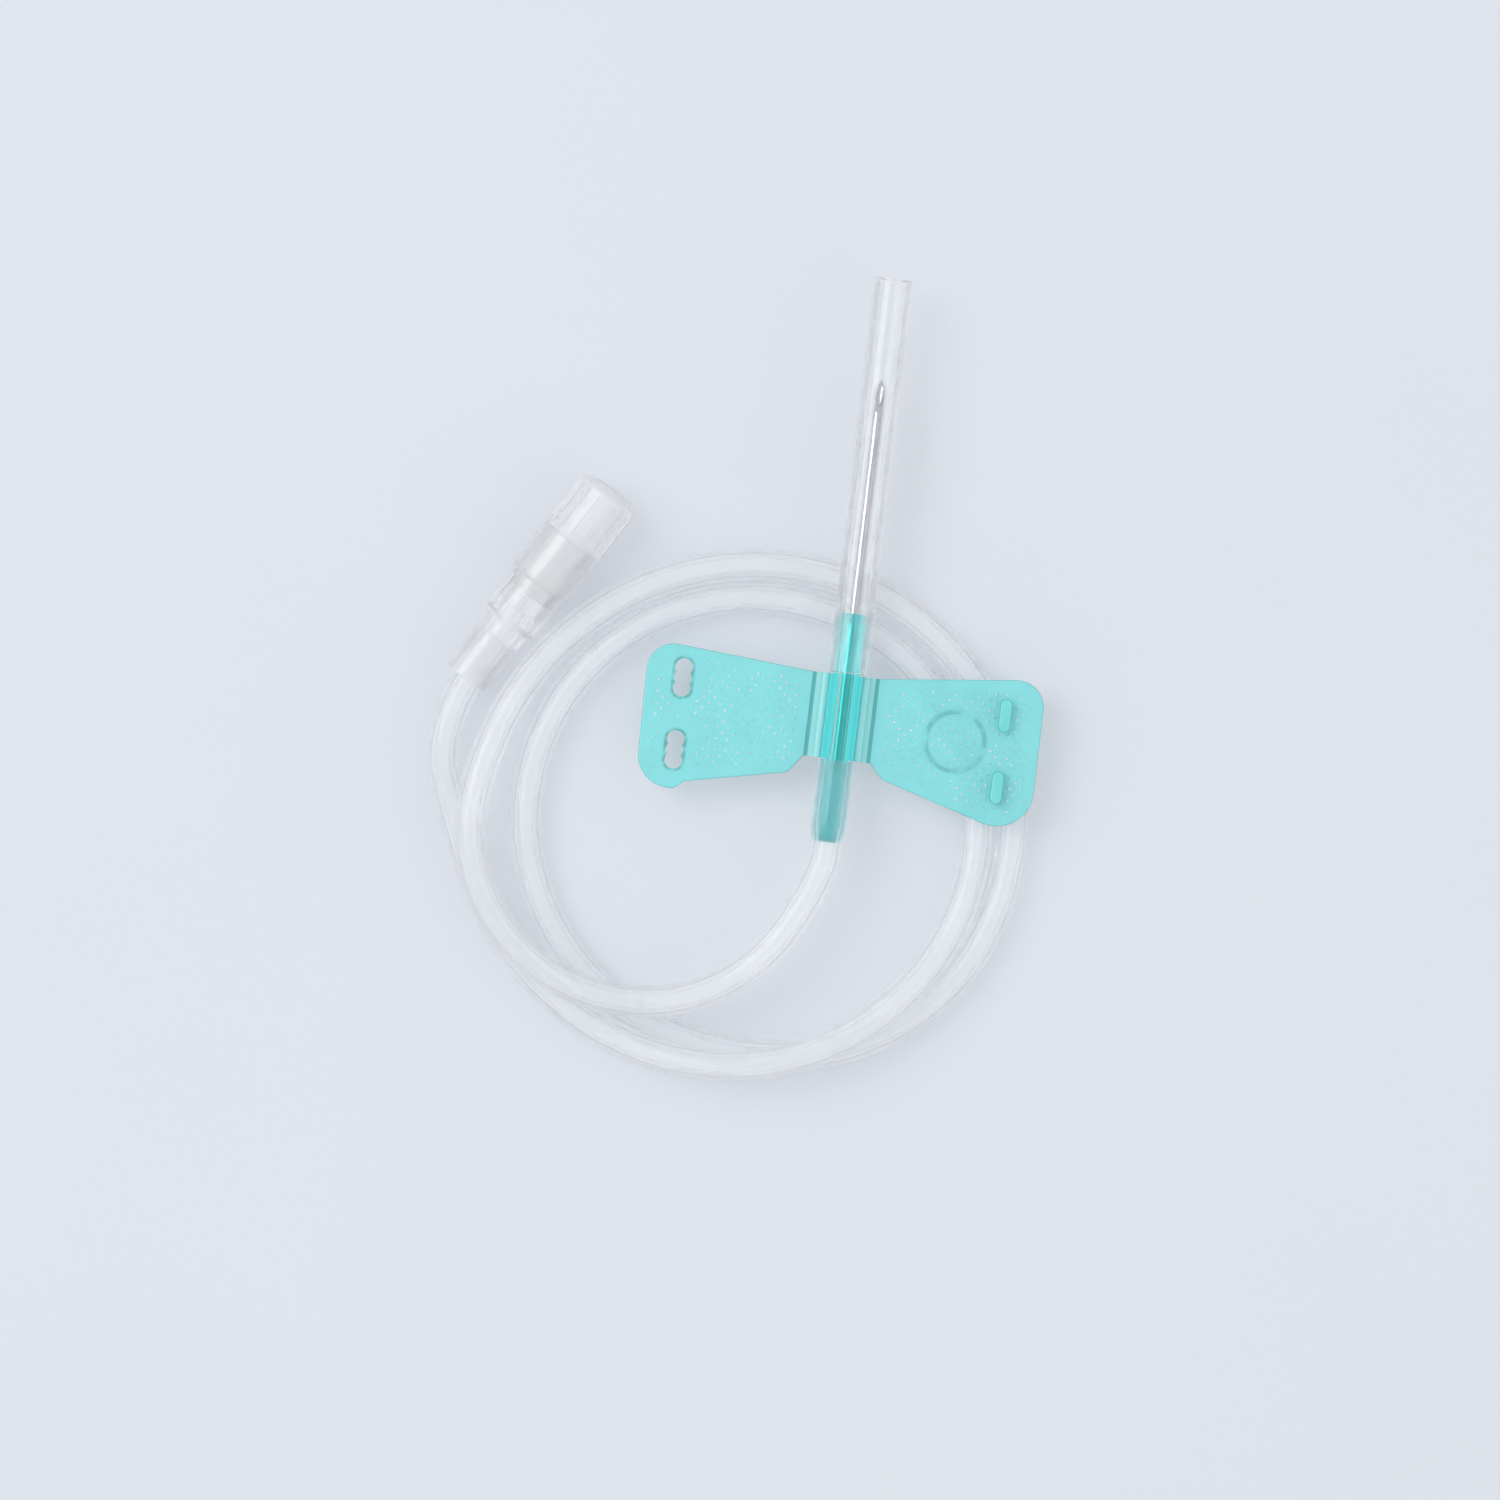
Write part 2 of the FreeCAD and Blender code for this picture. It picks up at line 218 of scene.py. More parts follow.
class ButterflySettings(bpy.types.PropertyGroup):
    """All sizes and colours of the set."""
    tubing: PointerProperty(type=TubingSettings)
    wings: PointerProperty(type=WingSettings)
    stage: PointerProperty(type=StageSettings)


# Materials

def add_node(tree, kind, inputs=(), **settings):
    """Adds a node with its settings, and links or fills its inputs."""
    node = tree.nodes.new(kind)
    for name, value in settings.items():
        setattr(node, name, value)
    for name, value in dict(inputs).items():
        if isinstance(value, bpy.types.NodeSocket):
            tree.links.new(value, node.inputs[name])
        else:
            node.inputs[name].default_value = value
    return node


def new_material(name, **inputs):
    """A material with a Principled shader whose plain inputs are set on its own sockets."""
    material = bpy.data.materials.new(name)
    material.use_nodes = True
    tree = material.node_tree
    shader = tree.nodes["Principled BSDF"]
    for key, value in inputs.items():
        shader.inputs[key.replace("_", " ")].default_value = value
    place = add_node(tree, "ShaderNodeTexCoord").outputs["Object"]
    return material, tree, shader, place


def two_tones(tree, place, size, first, second, stretch=(1, 1, 1), low=0.35, high=0.65):
    """A colour that drifts between two tones, in patches of a given size in metres."""
    mapped = add_node(tree, "ShaderNodeMapping", {"Vector": place, "Scale": stretch})
    noise = add_node(tree, "ShaderNodeTexNoise", {
        "Vector": mapped.outputs["Vector"], "Scale": 1 / size, "Detail": 3.0,
    })
    ramp = add_node(tree, "ShaderNodeValToRGB", {"Fac": noise.outputs["Fac"]})
    ramp.color_ramp.elements[0].position = low
    ramp.color_ramp.elements[0].color = (*first, 1)
    ramp.color_ramp.elements[1].position = high
    ramp.color_ramp.elements[1].color = (*second, 1)
    return ramp.outputs["Color"]


def grain(tree, place, size, depth, stretch=(1, 1, 1), detail=4.0):
    """A bump from fine grain of a given size and depth in metres. Returns it and the noise."""
    mapped = add_node(tree, "ShaderNodeMapping", {"Vector": place, "Scale": stretch})
    noise = add_node(tree, "ShaderNodeTexNoise", {
        "Vector": mapped.outputs["Vector"], "Scale": 1 / size, "Detail": detail,
    })
    bump = add_node(tree, "ShaderNodeBump", {
        "Height": noise.outputs["Fac"], "Distance": depth, "Strength": 1.0,
    })
    return bump.outputs["Normal"], noise.outputs["Fac"]


def spread(tree, factor, low, high):
    """A value between two limits that follows a pattern."""
    mapped = add_node(tree, "ShaderNodeMapRange", {
        "Value": factor, "From Min": 0.3, "From Max": 0.7, "To Min": low, "To Max": high,
    })
    return mapped.outputs["Result"]


def darker(tint, share):
    """A tone of a colour that is darker by a share."""
    return tuple(value * (1 - share) for value in tint)


def along(tree, place, axis):
    """One coordinate of a place."""
    return add_node(tree, "ShaderNodeSeparateXYZ", {"Vector": place}).outputs[axis]


def ramped(tree, value, start, end, low=0.0, high=1.0):
    """A value that goes smoothly from low to high between two places."""
    return add_node(tree, "ShaderNodeMapRange", {
        "Value": value, "From Min": start, "From Max": end, "To Min": low, "To Max": high,
    }, interpolation_type="SMOOTHSTEP").outputs["Result"]


def maths(tree, operation, first, second=0.0):
    """One sum on two values."""
    return add_node(tree, "ShaderNodeMath", {0: first, 1: second}, operation=operation).outputs[0]


def blended(tree, share, first, second):
    """A colour between two, by a share."""
    return add_node(
        tree, "ShaderNodeMix", {0: share, 6: first, 7: second}, data_type="RGBA",
    ).outputs[2]


def painted_edge_shade(tree, tone, share):
    """Painted shade: darkens a teal tone on walls and rounded rims, the more they face sideways.
    """
    normal = add_node(tree, "ShaderNodeTexCoord").outputs["Normal"]
    rise = add_node(tree, "ShaderNodeSeparateXYZ", {"Vector": normal}).outputs["Z"]
    level = add_node(tree, "ShaderNodeMath", {0: rise}, operation="ABSOLUTE").outputs[0]
    level = add_node(tree, "ShaderNodeMapRange", {
        "Value": level, "From Min": 0.2, "From Max": 0.9, "To Min": share, "To Max": 0.0,
    }).outputs["Result"]
    return add_node(tree, "ShaderNodeMix", {
        0: level, 6: tone, 7: EDGE_SHADE_TONE,
    }, data_type="RGBA", blend_type="MULTIPLY").outputs[2]


def off_ring(tree, place, centre, radius):
    """How far a place on the wing is from the line of the moulded ring."""
    reach = add_node(tree, "ShaderNodeVectorMath", {0: place, 1: centre}, operation="DISTANCE")
    return maths(tree, "ABSOLUTE", maths(tree, "SUBTRACT", reach.outputs["Value"], radius))


def off_slots(tree, place):
    """How far a place on the left wing is outside the outline of its two slots."""
    across = maths(tree, "ADD", along(tree, place, "X"), SLOT_OUT)
    back = maths(tree, "SUBTRACT", along(tree, place, "Y"), SLOT_MIDDLE)
    back = maths(tree, "SUBTRACT", maths(tree, "ABSOLUTE", back), SLOT_SPACING / 2)
    back = maths(tree, "SUBTRACT", maths(tree, "ABSOLUTE", back), SLOT_STRAIGHT / 2)
    back = maths(tree, "MAXIMUM", back, 0.0)
    reach = maths(tree, "POWER", across, 2.0)
    reach = maths(tree, "SQRT", maths(tree, "ADD", reach, maths(tree, "POWER", back, 2.0)))
    return maths(tree, "SUBTRACT", reach, SLOT_RADIUS)


def patchy(tree, place, size, low, high):
    """A value that changes between two limits, in patches of a given size in metres."""
    noise = add_node(tree, "ShaderNodeTexNoise", {"Vector": place, "Scale": 1 / size})
    return ramped(tree, noise.outputs["Fac"], 0.4, 0.6, low, high)


def glints_shade_and_deep_pegs(tree, place, tone, pip_height, deep):
    """Painted highlights whiten the raised pips, some more than others; the tall pegs are deep, as
    they are thick;
    and painted shade darkens broken lines along the moulded ring and round the slots."""
    level = along(tree, place, "Z")
    offset = off_ring(tree, place, RING_CENTRE, RING_RADIUS)
    # Painted highlights: the pips' tops are whitened, some more than others
    pips = ramped(tree, level, WING_TOP + FLAT_WITHIN, WING_TOP + pip_height * 0.8)
    pips = maths(tree, "MULTIPLY", pips, patchy(tree, place, 0.9 * MM, 0.1, 0.6))
    pips = maths(tree, "MULTIPLY", pips, patchy(tree, place, 3.5 * MM, 0.4, 1.0))
    pips = maths(tree, "MULTIPLY", pips, ramped(tree, offset, *RING_CLEAR))
    tone = blended(tree, pips, tone, (1, 1, 1, 1))
    # Painted shade: a broken dark line along the moulded ring
    line = ramped(tree, offset, 0.12 * MM, 0.2 * MM, 1.0, 0.0)
    line = maths(tree, "MULTIPLY", line, patchy(tree, place, 1.5 * MM, 0.0, 0.6))
    # Painted shade: broken dark rims round the slots
    rim = ramped(tree, off_slots(tree, place), 0.14 * MM, 0.3 * MM, 1.0, 0.0)
    rim = maths(tree, "MULTIPLY", rim, patchy(tree, place, 0.7 * MM, 0.25, 0.9))
    # The ring's line and the slots' rims take a dark tone of the deep colour: painted shade
    tone = blended(tree, maths(tree, "MAXIMUM", line, rim), tone, (*darker(deep, 0.45), 1))
    pegs = ramped(tree, level, WING_TOP + 0.15 * MM, WING_TOP + 0.4 * MM)
    return blended(tree, pegs, tone, (*deep, 1))


def moulded_soft_pvc(name, tint, deep, clearness, pip_height):
    """Plasticised PVC, injection moulded: it lets light through with a haze, deeper where it is
    thick, and has a satin skin with the fine grain of a spark-eroded mould.
    It carries painted highlights on its pips and painted shade on its walls, rims, ring line and
    slot rims."""
    material, tree, shader, place = new_material(
        name, IOR=1.53, Transmission_Weight=clearness, Specular_IOR_Level=0.5,
    )
    tone = two_tones(tree, place, 2.4 * MM, darker(tint, 0.04), tint)
    tone = glints_shade_and_deep_pegs(tree, place, tone, pip_height, deep)
    normal, noise = grain(tree, place, 0.16 * MM, 0.0008 * MM, detail=2.0)
    # Painted shade darkens the walls and rounded rims
    tree.links.new(painted_edge_shade(tree, tone, 0.6), shader.inputs["Base Color"])
    tree.links.new(spread(tree, noise, 0.14, 0.2), shader.inputs["Roughness"])
    tree.links.new(normal, shader.inputs["Normal"])
    return material


def thick_soft_pvc(name, tint, deep, clearness, web_clearness):
    """The same PVC in the hub: its thin webs look as the wings do, with painted light that lifts
    them out of the shade beside the barrel, and its thick barrel, nose and spigot are deep in
    colour and clear enough to show the steel inside; faint painted shade darkens its walls and
    rims."""
    material, tree, shader, place = new_material(name, IOR=1.53, Specular_IOR_Level=0.5)
    offset = maths(tree, "ABSOLUTE", along(tree, place, "X"))
    web = ramped(tree, offset, *WEB_BLEND)
    back = along(tree, place, "Y")
    nose = ramped(tree, back, NOSE_TONE_START - 0.6 * MM, NOSE_TONE_START, 0.0, 0.4)
    tone = blended(tree, nose, (*deep, 1), (*tint, 1))
    spigot = ramped(tree, back, BARREL_REAR - 0.6 * MM, BARREL_REAR, 0.6, 0.0)
    tone = blended(tree, spigot, tone, (*linear(SPIGOT_TONE), 1))
    # The webs take the lighter web colour: painted light
    tone = blended(tree, web, tone, (*tint, 1))
    clear = ramped(tree, offset, *WEB_BLEND, clearness, web_clearness)
    normal, noise = grain(tree, place, 0.16 * MM, 0.0005 * MM, detail=2.0)
    # Faint painted shade on the hub's walls and rounded rims
    tree.links.new(painted_edge_shade(tree, tone, 0.08), shader.inputs["Base Color"])
    tree.links.new(clear, shader.inputs["Transmission Weight"])
    tree.links.new(spread(tree, noise, 0.06, 0.12), shader.inputs["Roughness"])
    tree.links.new(normal, shader.inputs["Normal"])
    return material


def extruded_clear_pvc(name, tint, tail_tint, tail_end):
    """Clear PVC tubing, extruded: milky where it is thick, glossy, with a faint ripple from
    the die that is drawn a little coarser than it is. Where it is stretched over the hub's
    spigot it shows the spigot's colour over its whole width, as a tint."""
    material, tree, shader, place = new_material(
        name, IOR=1.45, Transmission_Weight=0.7, Alpha=0.5, Specular_IOR_Level=0.5,
    )
    tone = two_tones(tree, place, 1.8 * MM, darker(tint, 0.02), tint)
    back = along(tree, place, "Y")
    across = maths(tree, "ABSOLUTE", along(tree, place, "X"))
    near = ramped(tree, across, SPIGOT_REACH - 1 * MM, SPIGOT_REACH, 1.0, 0.0)
    filled = ramped(tree, back, tail_end - 0.3 * MM, tail_end + 0.5 * MM)
    behind = ramped(tree, back, BARREL_REAR + 1 * MM, BARREL_REAR + 2 * MM, 1.0, 0.0)
    share = maths(tree, "MULTIPLY", maths(tree, "MULTIPLY", near, filled), behind)
    tone = blended(tree, share, tone, (*tail_tint, 1))
    normal, noise = grain(tree, place, 1.6 * MM, 0.0003 * MM, detail=1.0)
    tree.links.new(tone, shader.inputs["Base Color"])
    tree.links.new(spread(tree, noise, 0.1, 0.15), shader.inputs["Roughness"])
    tree.links.new(normal, shader.inputs["Normal"])
    return material


def moulded_clear_plastic(name, tint, clearness, body, rough):
    """Clear moulded plastic with flow marks that are only just seen."""
    material, tree, shader, place = new_material(
        name, IOR=1.47, Transmission_Weight=clearness, Alpha=body, Specular_IOR_Level=0.5,
    )
    tone = two_tones(tree, place, 1.2 * MM, darker(tint, 0.02), tint)
    normal, noise = grain(tree, place, 0.9 * MM, 0.0006 * MM, detail=1.0)
    tree.links.new(tone, shader.inputs["Base Color"])
    tree.links.new(spread(tree, noise, rough, rough + 0.05), shader.inputs["Roughness"])
    tree.links.new(normal, shader.inputs["Normal"])
    return material


def drawn_stainless_steel(name):
    """Stainless steel tube, drawn and polished: bright, with hairlines along its length, and
    darker and teal-grey where it lies in the hub's barrel: painted shade, tinted by the barrel
    round it."""
    material, tree, shader, place = new_material(name, Metallic=1.0, Anisotropic=0.35)
    lines = (1, 0.02, 1)
    dark, bright = (linear(value) for value in STEEL_TONES)
    tone = two_tones(tree, place, 0.05 * MM, dark, bright, stretch=lines)
    back = along(tree, place, "Y")
    # Painted shade on the steel inside the barrel, tinted teal by it
    barrel_shade = ramped(tree, back, NOSE_TONE_START - 1 * MM, NOSE_TONE_START, 1.0, 0.0)
    tone = blended(tree, barrel_shade, tone, (*linear(BARREL_SHADE_STEEL_TONE), 1))
    normal, noise = grain(tree, place, 0.04 * MM, 0.0012 * MM, stretch=lines, detail=2.0)
    tree.links.new(tone, shader.inputs["Base Color"])
    tree.links.new(spread(tree, noise, 0.13, 0.22), shader.inputs["Roughness"])
    tree.links.new(normal, shader.inputs["Normal"])
    return material


def seen_directly(tree):
    """1 for what the camera sees itself, in a reflection or through clear plastic."""
    ray = add_node(tree, "ShaderNodeLightPath").outputs
    through = maths(tree, "MAXIMUM", ray["Is Glossy Ray"], ray["Is Transmission Ray"])
    return maths(tree, "MAXIMUM", ray["Is Camera Ray"], through)


def matt_paper_floor(name, tint, lift):
    """Plain matt floor with the faintest grain. A share of it shows without shadow, and clear
    plastic shows all of it so."""
    material, tree, shader, place = new_material(name, Roughness=0.9, Specular_IOR_Level=0.2)
    tone = two_tones(tree, place, 60 * MM, darker(tint, 0.01), tint)
    tree.links.new(tone, shader.inputs["Base Color"])
    ray = add_node(tree, "ShaderNodeLightPath").outputs
    light = add_node(tree, "ShaderNodeEmission", {"Color": tone, "Strength": 1.0})
    direct = maths(tree, "MULTIPLY", ray["Is Camera Ray"], lift)
    indirect = maths(tree, "MAXIMUM", ray["Is Transmission Ray"], ray["Is Glossy Ray"])
    share = maths(tree, "MAXIMUM", indirect, direct)
    both = add_node(tree, "ShaderNodeMixShader", {
        0: share, 1: shader.outputs["BSDF"], 2: light.outputs["Emission"],
    })
    tree.links.new(both.outputs["Shader"], tree.nodes["Material Output"].inputs["Surface"])
    return material


def paint(piece, material):
    """Gives a piece, or a node of the model, one material."""
    piece.data.materials.clear()
    piece.data.materials.append(material)
    for polygon in piece.data.polygons:
        polygon.material_index = 0


# Pieces

def new_object(name, data):
    """An object at the origin, in the scene."""
    piece = bpy.data.objects.new(name, data)
    bpy.context.scene.collection.objects.link(piece)
    return piece


def finished(mesh, angle=35):
    """Smooth faces, with the edges sharp where they turn by more than an angle."""
    if "custom_normal" in mesh.attributes:
        mesh.attributes.remove(mesh.attributes["custom_normal"])
    mesh.shade_smooth()
    mesh.set_sharp_from_angle(angle=math.radians(angle))
    return mesh


def from_bmesh(name, bm):
    """A new object whose mesh is a bmesh, which is freed."""
    mesh = bpy.data.meshes.new(name)
    bm.to_mesh(mesh)
    bm.free()
    return new_object(name, mesh)


def merged_copy(node):
    """A bmesh of a node's mesh with its loose triangles joined."""
    bm = bmesh.new()
    bm.from_mesh(NODES[node].data)
    bmesh.ops.remove_doubles(bm, verts=bm.verts, dist=0.0005 * MM)
    return bm


# Route of the tubing, in millimetres: the points of the solid's route
TUBE_START = (0.0, -11.85, 0.0)
SPIGOT_RUN = (0.0, -16.9, 0.0)
LEAD_OUT = [
    (0.0, -21.1, 0.0),
    (-4.2, -29.4, 0.0),
    (-12.0, -33.6, 0.0),
    (-20.9, -32.4, 0.0),
    (-27.4, -26.6, 0.0),
    (-29.4, -18.7, 0.0),
]
TUBE_LEVEL = -3.05
OVER = 3.05
COIL_CENTRE = (-6.15, -17.9)
COIL_STEP = 30.0
COIL_FIRST = -208.0
COIL_RADII = [
    21.6, 21.1, 21.1, 21.3, 21.4, 21.1, 20.8, 19.7, 18.4, 18.0, 18.1, 18.4,
    18.5, 18.5, 18.4, 18.4, 18.3, 18.2, 18.2, 18.6, 19.4, 20.5, 21.9,
]
COIL_RISE = {0: 0.45, 18: 0.5, 19: 1.0, 20: 1.0, 21: 0.4}
LEAD_IN = (-29.8, -21.2)
CONNECTOR_START = (-30.6, -8.7, -2.405)
CONNECTOR_DIRECTION = (0.52117, 0.85047, 0.07125)
TUBE_LEAD = 4.5
TUBE_INSERT = 4.0


def route_points():
    """Control points of the tubing's line, in metres."""
    points = [Vector(TUBE_START), Vector(SPIGOT_RUN)]
    points += [Vector(point) for point in LEAD_OUT]
    wide = math.cos(math.radians(COIL_STEP / 2))
    for number, radius in enumerate(COIL_RADII):
        angle = math.radians(COIL_FIRST - number * COIL_STEP)
        points.append(Vector((
            COIL_CENTRE[0] + radius / wide * math.cos(angle),
            COIL_CENTRE[1] + radius / wide * math.sin(angle),
            TUBE_LEVEL + OVER * COIL_RISE.get(number, 0.0),
        )))
    start = Vector(CONNECTOR_START)
    direction = Vector(CONNECTOR_DIRECTION)
    points.append(Vector((*LEAD_IN, TUBE_LEVEL)))
    points += [start - direction * TUBE_LEAD, start + direction * TUBE_INSERT]
    return [point * MM for point in points]


def route_curve(name, bevel):
    """The tubing's line as a smooth curve, bare or with a round section."""
    curve = bpy.data.curves.new(name, "CURVE")
    curve.dimensions = "3D"
    curve.resolution_u = 20
    spline = curve.splines.new("NURBS")
    points = route_points()
    spline.points.add(len(points) - 1)
    for slot, point in zip(spline.points, points):
        slot.co = (*point, 1)
    spline.order_u = 3
    spline.use_endpoint_u = True
    curve.bevel_depth = bevel
    curve.bevel_resolution = 13
    return new_object(name, curve)


def route_mesh(name, bevel):
    """The mesh of the tubing's line, bare or with a round section."""
    helper = route_curve(name, bevel)
    graph = bpy.context.evaluated_depsgraph_get()
    mesh = bpy.data.meshes.new_from_object(helper.evaluated_get(graph))
    curve = helper.data
    bpy.data.objects.remove(helper)
    bpy.data.curves.remove(curve)
    return mesh


def eased(value):
    """A smooth step from 0 to 1."""
    value = min(1.0, max(0.0, value))
    return value * value * (3 - 2 * value)


def stretched_over_spigot(bm, verts, share, end, taper):
    """Widens the rings on the spigot by a share, and eases them down to the free tubing."""
    for vert in verts:
        near = abs(vert.co.x) < SPIGOT_REACH and abs(vert.co.z) < SPIGOT_REACH
        if near and end < vert.co.y < BARREL_REAR:
            factor = 1 + (share - 1) * eased((vert.co.y - end) / taper)
            vert.co.x *= factor
            vert.co.z *= factor


class BUTTERFLY_OT_tubing(bpy.types.Operator):
    """Make the hollow tubing along its smooth line, stretched over the hub's spigot"""
    bl_idname = "butterfly.tubing"
    bl_label = "Tubing"

    def execute(self, context):
        sizes = context.scene.butterfly.tubing
        line = route_mesh("tubing_line", 0.0)
        path = [vert.co.copy() for vert in line.vertices]
        bpy.data.meshes.remove(line)
        bm = bmesh.new()
        sides = (
            (sizes.outer, sizes.cuff_outer, sizes.cuff_taper, False),
            (sizes.bore, sizes.cuff_bore, BORE_TAPER, True),
        )
        for diameter, cuff, taper, inside in sides:
            before = set(bm.verts)
            skin = route_mesh("tubing_side", diameter / 2)
            bm.from_mesh(skin)
            bpy.data.meshes.remove(skin)
            fresh = [vert for vert in bm.verts if vert not in before]
            stretched_over_spigot(bm, fresh, cuff / diameter, sizes.spigot_end, taper)
            faces = {face for vert in fresh for face in vert.link_faces}
            bmesh.ops.recalc_face_normals(bm, faces=list(faces))
            if inside:
                bmesh.ops.reverse_faces(bm, faces=list(faces))
        for end in (path[0], path[-1]):
            rim = [
                edge for edge in bm.edges
                if edge.is_boundary and (edge.verts[0].co - end).length < END_REACH
            ]
            bmesh.ops.bridge_loops(bm, edges=rim)
        tubing = from_bmesh("clear_tubing", bm)
        finished(tubing.data, 50)
        paint(tubing, extruded_clear_pvc(
            "extruded_clear_pvc", tuple(sizes.tint), tuple(sizes.tail_tint), sizes.spigot_end,
        ))
        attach(tubing, "hub")
        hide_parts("tubing")
        return {"FINISHED"}


def pip_places(bm, sizes):
    """Places of the pips on a wing: a diagonal grid, clear of the rim and of what stands up."""
    tree = BVHTree.FromBMesh(bm)
    xs = [vert.co.x for vert in bm.verts]
    ys = [vert.co.y for vert in bm.verts]
    middle = Vector(((min(xs) + max(xs)) / 2, (min(ys) + max(ys)) / 2))
    step = sizes.pip_pitch / math.sqrt(2)
    across = int((max(xs) - min(xs)) / step / 2) + 1
    along = int((max(ys) - min(ys)) / step / 2) + 1
    around = [Vector((math.cos(turn), math.sin(turn))) for turn in
              [math.tau * number / 12 for number in range(12)]]

    def height(spot):
        hit = tree.ray_cast(Vector((*spot, RAY_HEIGHT)), Vector((0, 0, -1)))[0]
        return None if hit is None else hit.z

    def flat(spot):
        level = height(spot)
        return level is not None and abs(level - WING_TOP) < FLAT_WITHIN

    places = []
    for column in range(-across, across + 1):
        for row in range(-along, along + 1):
            spot = middle + Vector((column, row)) * step
            if (column + row) % 2 or not flat(spot):
                continue
            if not all(flat(spot + way * sizes.clearing) for way in around):
                continue
            if all(height(spot + way * sizes.border) is not None for way in around):
                places.append(spot)
    return places


def wing_with_pips(node, name, sizes):
    """A wing's own shape with the raised pips moulded on to its top."""
    bm = merged_copy(node)
    places = pip_places(bm, sizes)
    wing = from_bmesh(name, bm)
    pips = bmesh.new()
    for spot in places:
        level = WING_TOP + (sizes.pip_height - PIP_FOOT) / 2
        bmesh.ops.create_cone(
            pips, cap_ends=True, segments=PIP_SIDES,
            radius1=sizes.pip_base, radius2=sizes.pip_top,
            depth=sizes.pip_height + PIP_FOOT, matrix=Matrix.Translation((*spot, level)),
        )
    helper = from_bmesh(name + "_pips", pips)
    union = wing.modifiers.new("Pips", "BOOLEAN")
    union.operation = "UNION"
    union.solver = "MANIFOLD"
    union.object = helper
    graph = bpy.context.evaluated_depsgraph_get()
    made = bpy.data.meshes.new_from_object(wing.evaluated_get(graph))
    plain = wing.data
    wing.modifiers.clear()
    wing.data = made
    bpy.data.meshes.remove(plain)
    bpy.data.meshes.remove(helper.data)
    finished(wing.data, 28)
    return wing, len(places)


class BUTTERFLY_OT_wings(bpy.types.Operator):
    """Make both wings with their field of raised pips"""
    bl_idname = "butterfly.wings"
    bl_label = "Wings"

    def execute(self, context):
        sizes = context.scene.butterfly.wings
        material = moulded_soft_pvc(
            "moulded_soft_pvc", tuple(sizes.tint), tuple(sizes.peg_tint), 0.42, sizes.pip_height,
        )
        for side in ("left", "right"):
            wing, count = wing_with_pips(side + "_wing", side + "_wing_moulding", sizes)
            if count < 50:
                raise RuntimeError("The pips found no room on the " + side + " wing")
            paint(wing, material)
            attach(wing, side + "_wing")
            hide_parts(side + "_wing")
        return {"FINISHED"}


class BUTTERFLY_OT_fold_skins(bpy.types.Operator):
    """Make the thin skins that join the wings to the hub"""
    bl_idname = "butterfly.fold_skins"
    bl_label = "Fold skins"

    def execute(self, context):
        sizes = context.scene.butterfly.wings
        # The skins take the darker groove colour: painted shade in the grooves
        material = moulded_soft_pvc(
            "folded_soft_pvc", tuple(sizes.painted_shade_groove_tint), tuple(sizes.peg_tint),
            0.3, sizes.pip_height,
        )
        middle = (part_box("wing_hub")[1].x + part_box("right_wing")[0].x) / 2
        level = WING_TOP - sizes.skin_recess
        for side, sign in (("left", -1), ("right", 1)):
            bm = bmesh.new()
            bmesh.ops.create_grid(bm, x_segments=12, y_segments=8, size=0.5)
            bmesh.ops.scale(bm, verts=bm.verts, vec=(sizes.skin_width, FOLD_LENGTH, 1))
            bmesh.ops.translate(
                bm, verts=bm.verts,
                vec=(sign * middle, BARREL_REAR + FOLD_LENGTH / 2, level),
            )
            bmesh.ops.solidify(bm, geom=bm.faces[:], thickness=sizes.skin_thickness)
            bmesh.ops.recalc_face_normals(bm, faces=bm.faces)
            skin = from_bmesh(side + "_fold_skin", bm)
            finished(skin.data)
            paint(skin, material)
            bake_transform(skin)
        return {"FINISHED"}


class BUTTERFLY_OT_hub(bpy.types.Operator):
    """Finish the hub: barrel, webs, nose and spigot"""
    bl_idname = "butterfly.hub"
    bl_label = "Hub"

    def execute(self, context):
        sizes = context.scene.butterfly.wings
        paint(NODES["wing_hub"], thick_soft_pvc(
            "thick_soft_pvc", tuple(sizes.painted_light_web_tint), tuple(sizes.hub_tint), 0.93, 0.42,
        ))
        return {"FINISHED"}


class BUTTERFLY_OT_cannula(bpy.types.Operator):
    """Finish the steel cannula with its ground point"""
    bl_idname = "butterfly.cannula"
    bl_label = "Cannula"

    def execute(self, context):
        paint(NODES["needle"], drawn_stainless_steel("drawn_stainless_steel"))
        return {"FINISHED"}


class BUTTERFLY_OT_sheath(bpy.types.Operator):
    """Finish the clear sheath over the needle"""
    bl_idname = "butterfly.sheath"
    bl_label = "Sheath"

    def execute(self, context):
        paint(NODES["needle_sheath"], moulded_clear_plastic(
            "clear_polyethylene", linear("FDFEFE"), 1.0, 0.52, 0.05,
        ))
        return {"FINISHED"}


class BUTTERFLY_OT_connector(bpy.types.Operator):
    """Finish the connector and its plug cap"""
    bl_idname = "butterfly.connector"
    bl_label = "Connector and cap"

    def execute(self, context):
        paint(NODES["luer_connector"], moulded_clear_plastic(
            "clear_styrene", linear("FCFDFE"), 0.8, 0.6, 0.08,
        ))
        paint(NODES["luer_cap"], moulded_clear_plastic(
            "natural_polyethylene", linear("FAFBFD"), 0.6, 0.7, 0.2,
        ))
        return {"FINISHED"}


# Stage

def soft_light(name, place, target, size, power):
    """A square area light that points at a target."""
    lamp = bpy.data.lights.new(name, "AREA")
    lamp.size = size
    lamp.energy = power
    holder = new_object(name, lamp)
    holder.location = place
    holder.rotation_euler = (Vector(target) - Vector(place)).to_track_quat("-Z", "Y").to_euler()
    return holder


